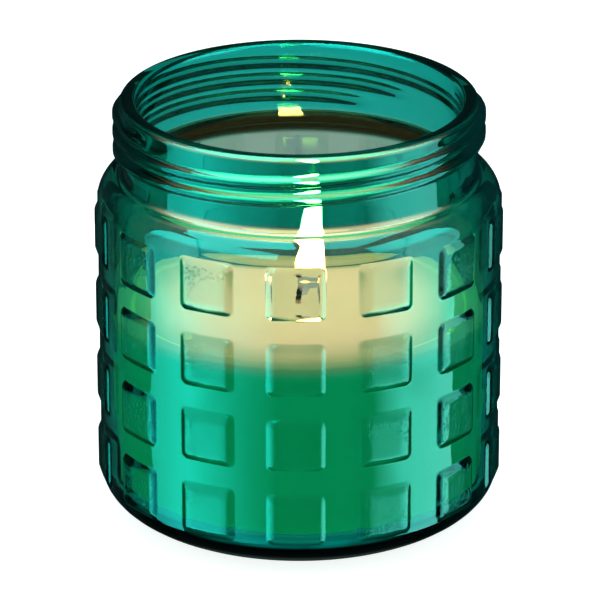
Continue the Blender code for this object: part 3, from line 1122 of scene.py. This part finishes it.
class CANDLE_OT_stage(bpy.types.Operator):
    """Make the camera, the pale floor, the soft lights and the dark cards beside the jar."""

    bl_idname = "candle.stage"
    bl_label = "Stage"

    def execute(self, context):
        scene, stage = context.scene, context.scene.candle_stage
        self.make_camera(scene, stage)
        self.make_world(scene)
        self.make_floor(stage)
        for name, bearing in DARK_CARDS:
            card(name, bearing, 0.35, 0.50, -0.5, 0.6, emitting("dark_card", 0.0))
        left = graded("soft_light_left", 9.0, LEFT_SHADE, -92.0, -12.0, LEFT_STOPS)
        card("soft_left", -52.0, 0.6, 1.01, -0.6, 0.7, left)
        right = graded("soft_light_right", 7.5, RIGHT_SHADE, 42.0, 97.0, RIGHT_STOPS)
        card("soft_right", 69.5, 0.6, 0.63, -0.6, 0.7, right)
        for name, first, last, strength in TOP_LIGHTS:
            bm = bmesh.new()
            corners = ((first, TOP_FRONT), (last, TOP_FRONT), (last, TOP_BACK), (first, TOP_BACK))
            bm.faces.new([bm.verts.new((x, y, TOP_HEIGHT)) for x, y in corners])
            hidden(add_object(f"soft_top_{name}", bm, emitting(f"soft_light_top_{name}", strength, CYAN)))
        light = bpy.data.lights.new("overhead", "AREA")
        light.energy, light.size = 9.0, 0.9
        over = bpy.data.objects.new("overhead", light)
        over.location = (0.0, -0.1, 1.1)
        over.visible_camera = False
        over.visible_glossy = False
        over.visible_transmission = False
        scene.collection.objects.link(over)
        scene.view_settings.view_transform = "Standard"
        scene.view_settings.look = "None"
        scene.cycles.max_bounces = 24
        scene.cycles.transmission_bounces = 24
        scene.cycles.glossy_bounces = 12
        return {"FINISHED"}

    @staticmethod
    def make_camera(scene, stage):
        data = bpy.data.cameras.new("camera")
        data.lens, data.sensor_width, data.shift_x = stage.focal, 36.0, stage.shift
        data.clip_start, data.clip_end = 0.01, 20.0
        camera = bpy.data.objects.new("camera", data)
        tilt = stage.elevation
        back = Vector((0.0, -math.cos(tilt), math.sin(tilt)))
        camera.location = Vector((0.0, 0.0, stage.target)) + back * stage.distance
        camera.rotation_euler = (math.pi / 2 - tilt, 0.0, 0.0)
        scene.collection.objects.link(camera)
        scene.camera = camera

    @staticmethod
    def make_world(scene):
        scene.world = bpy.data.worlds.new("studio")
        scene.world.use_nodes = True
        nodes = Nodes(scene.world.node_tree)
        seen = nodes.add("ShaderNodeLightPath")
        mirrored = Value(nodes, nodes.last.outputs["Is Glossy Ray"])
        up = nodes.parts(nodes.add("ShaderNodeTexCoord"))[2]
        sky = nodes.mix(mirrored, SKY, SKY_MIRRORED)
        sky = nodes.mix((up * 6.0 + 0.5).smooth(), BELOW, sky)
        around = scene.world.node_tree.nodes["Background"]
        nodes.feed(around.inputs["Color"], nodes.mix(seen, sky, WHITE))

    @staticmethod
    def make_floor(stage):
        bm = bmesh.new()
        turned(bm, [(0.0, 0.0), (stage.floor_radius, 0.0)], even_angles(96))
        made = Material("pale_floor", Base_Color=(0.42, 0.42, 0.42), Roughness=0.8, Emission_Strength=0.85)
        seen = made.add("ShaderNodeLightPath")
        x, y, z = made.parts(made.place())
        # Painted light: under the jar the floor glows for every ray but the camera's, in place of its shadow,
        # and lights the glass foot
        under = made.from_axis(x, y).before(60.0 * MM, 16.0 * MM)
        made.set(Emission_Color=made.mix(seen.math("MAXIMUM", under), BLACK, WHITE))
        floor = add_object("floor", bm, made.material)
        floor.visible_glossy = False


# ---- panel and registration

OPERATORS = (
    CANDLE_OT_stage,
    CANDLE_OT_glass_jar,
    CANDLE_OT_wax,
    CANDLE_OT_wick,
    CANDLE_OT_sustainer,
    CANDLE_OT_flame,
)
GROUPS = {
    "candle_jar": JarSizes,
    "candle_pads": PadSizes,
    "candle_thread": ThreadSizes,
    "candle_sizes": CandleSizes,
    "candle_look": Finishes,
    "candle_stage": StageSizes,
}


class CANDLE_PT_panel(bpy.types.Panel):
    """Lists the candle's operators and its sizes."""

    bl_label = "Jar candle"
    bl_idname = "CANDLE_PT_panel"
    bl_space_type = "VIEW_3D"
    bl_region_type = "UI"
    bl_category = "Candle"

    def draw(self, context):
        for operator in OPERATORS:
            self.layout.operator(operator.bl_idname)
        for name, group in GROUPS.items():
            box = self.layout.box()
            box.label(text=group.__doc__.rstrip("."))
            for key in group.__annotations__:
                box.prop(getattr(context.scene, name), key)


def register():
    for group in (*GROUPS.values(), *OPERATORS, CANDLE_PT_panel):
        bpy.utils.register_class(group)
    for name, group in GROUPS.items():
        setattr(bpy.types.Scene, name, bpy.props.PointerProperty(type=group))


def unregister():
    for name in GROUPS:
        delattr(bpy.types.Scene, name)
    for group in reversed((*GROUPS.values(), *OPERATORS, CANDLE_PT_panel)):
        bpy.utils.unregister_class(group)


def main():
    register()
    for operator in OPERATORS:
        family, name = operator.bl_idname.split(".")
        getattr(getattr(bpy.ops, family), name)()


if __name__ == "__main__":
    main()
